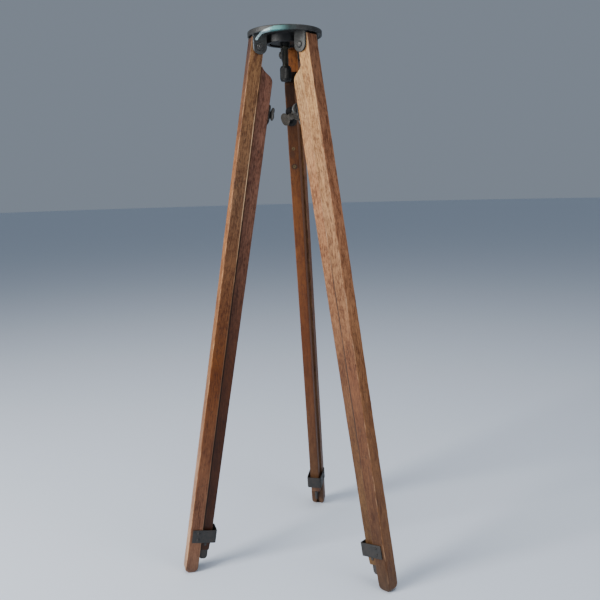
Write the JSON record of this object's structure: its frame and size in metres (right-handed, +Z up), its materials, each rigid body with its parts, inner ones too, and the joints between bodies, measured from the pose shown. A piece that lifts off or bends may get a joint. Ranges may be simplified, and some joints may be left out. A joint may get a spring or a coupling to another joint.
{
  "type": "surveyor tripod",
  "caption": "Wooden field tripod with sliding extension legs hinged under a round cast head with a centre fixing screw.",
  "frame": {"origin": "centre of the head's flat top face, on the centre fixing screw's axis", "axes": "+Z up along the centre screw; the legs lean out at -43, 77 and 197 degrees from +X, and -Y is the side the tripod is seen from; the floor is at z = -1.122 m"},
  "size_m": [0.4519, 0.4435, 1.134],
  "materials": {
    "head_bronze": "dull dark patina over cast bronze, green verdigris at the rim",
    "brass": "tarnished",
    "steel": "dark, worn grey at the edges",
    "iron": "black iron with brown rust",
    "rail_wood": "old varnish, worn pale on the corners",
    "slide_wood": "old dark varnish"
  },
  "bodies": {
    "head": {"head_plate": "head_bronze", "screw_retainer_plate": "brass", "retainer_screws": "brass", "hinge_bolts": "steel", "hinge_nuts": "steel"},
    "screw_carrier": {"screw_bush": "brass"},
    "centre_screw": {"centre_screw": "brass", "screw_stop_collar": "brass", "centre_screw_knob": "brass"},
    "leg_one_rail": {"leg_one_rail": "rail_wood", "leg_one_band": "iron", "leg_one_band_screws": "iron", "leg_one_stop_block": "rail_wood"},
    "leg_one_slide": {"leg_one_slide": "slide_wood", "leg_one_shoe": "iron", "leg_one_shoe_rivets": "iron", "leg_one_guide": "slide_wood", "leg_one_guide_screws": "brass", "leg_one_clamp_plate": "steel", "leg_one_clamp_plate_screws": "steel"},
    "leg_one_clamp_pad": {"leg_one_clamp_pad": "brass"},
    "leg_one_clamp_screw": {"leg_one_clamp_screw": "steel"},
    "leg_two_rail": {"leg_two_rail": "rail_wood", "leg_two_band": "iron", "leg_two_band_screws": "iron", "leg_two_stop_block": "rail_wood"},
    "leg_two_slide": {"leg_two_slide": "slide_wood", "leg_two_shoe": "iron", "leg_two_shoe_rivets": "iron", "leg_two_guide": "slide_wood", "leg_two_guide_screws": "brass", "leg_two_clamp_plate": "steel", "leg_two_clamp_plate_screws": "steel"},
    "leg_two_clamp_pad": {"leg_two_clamp_pad": "brass"},
    "leg_two_clamp_screw": {"leg_two_clamp_screw": "steel"},
    "leg_three_rail": {"leg_three_rail": "rail_wood", "leg_three_band": "iron", "leg_three_band_screws": "iron", "leg_three_stop_block": "rail_wood"},
    "leg_three_slide": {"leg_three_slide": "slide_wood", "leg_three_shoe": "iron", "leg_three_shoe_rivets": "iron", "leg_three_guide": "slide_wood", "leg_three_guide_screws": "brass", "leg_three_clamp_plate": "steel", "leg_three_clamp_plate_screws": "steel"},
    "leg_three_clamp_pad": {"leg_three_clamp_pad": "brass"},
    "leg_three_clamp_screw": {"leg_three_clamp_screw": "steel"}
  },
  "joints": [
    {"name": "centre_screw_lift", "type": "slide", "parent": "head", "child": "screw_carrier", "axis": [0, 0, 1], "range_m": [0, 0.0037]},
    {"name": "centre_screw_turn", "type": "hinge", "parent": "screw_carrier", "child": "centre_screw", "pos_m": [0, 0, 0], "axis": [0, 0, 1], "continuous": true},
    {"name": "leg_one_fold", "type": "hinge", "parent": "head", "child": "leg_one_rail", "pos_m": [0.04169, -0.03887, -0.034], "axis": [-0.682, -0.7314, 0], "range_deg": [-8, 22]},
    {"name": "leg_one_extend", "type": "slide", "parent": "leg_one_rail", "child": "leg_one_slide", "axis": [0.1232, -0.1149, -0.9857], "range_m": [0, 0.6]},
    {"name": "leg_one_clamp_press", "type": "slide", "parent": "leg_one_slide", "child": "leg_one_clamp_pad", "axis": [-0.7209, 0.6722, -0.1685], "range_m": [0, 0.00187]},
    {"name": "leg_one_clamp_turn", "type": "hinge", "parent": "leg_one_clamp_pad", "child": "leg_one_clamp_screw", "pos_m": [0.02801, -0.02612, -0.16198], "axis": [-0.7209, 0.6722, -0.1685], "range_deg": [0, 540]},
    {"name": "leg_two_fold", "type": "hinge", "parent": "head", "child": "leg_two_rail", "pos_m": [0.01282, 0.05554, -0.034], "axis": [0.9744, -0.225, 0], "range_deg": [-8, 22]},
    {"name": "leg_two_extend", "type": "slide", "parent": "leg_two_rail", "child": "leg_two_slide", "axis": [0.0379, 0.1642, -0.9857], "range_m": [0, 0.6]},
    {"name": "leg_two_clamp_press", "type": "slide", "parent": "leg_two_slide", "child": "leg_two_clamp_pad", "axis": [-0.2217, -0.9604, -0.1685], "range_m": [0, 0.00187]},
    {"name": "leg_two_clamp_turn", "type": "hinge", "parent": "leg_two_clamp_pad", "child": "leg_two_clamp_screw", "pos_m": [0.00861, 0.03732, -0.16198], "axis": [-0.2217, -0.9604, -0.1685], "range_deg": [0, 540]},
    {"name": "leg_three_fold", "type": "hinge", "parent": "head", "child": "leg_three_rail", "pos_m": [-0.05451, -0.01666, -0.034], "axis": [-0.2924, 0.9563, 0], "range_deg": [-8, 22]},
    {"name": "leg_three_extend", "type": "slide", "parent": "leg_three_rail", "child": "leg_three_slide", "axis": [-0.1611, -0.0493, -0.9857], "range_m": [0, 0.6]},
    {"name": "leg_three_clamp_press", "type": "slide", "parent": "leg_three_slide", "child": "leg_three_clamp_pad", "axis": [0.9426, 0.2882, -0.1685], "range_m": [0, 0.00187]},
    {"name": "leg_three_clamp_turn", "type": "hinge", "parent": "leg_three_clamp_pad", "child": "leg_three_clamp_screw", "pos_m": [-0.03662, -0.0112, -0.16198], "axis": [0.9426, 0.2882, -0.1685], "range_deg": [0, 540]}
  ],
  "couplings": [
    {"joint": "leg_one_clamp_press", "follows": "leg_one_clamp_turn", "m_per_rad": 0.00019894},
    {"joint": "leg_two_clamp_press", "follows": "leg_two_clamp_turn", "m_per_rad": 0.00019894},
    {"joint": "leg_three_clamp_press", "follows": "leg_three_clamp_turn", "m_per_rad": 0.00019894}
  ]
}
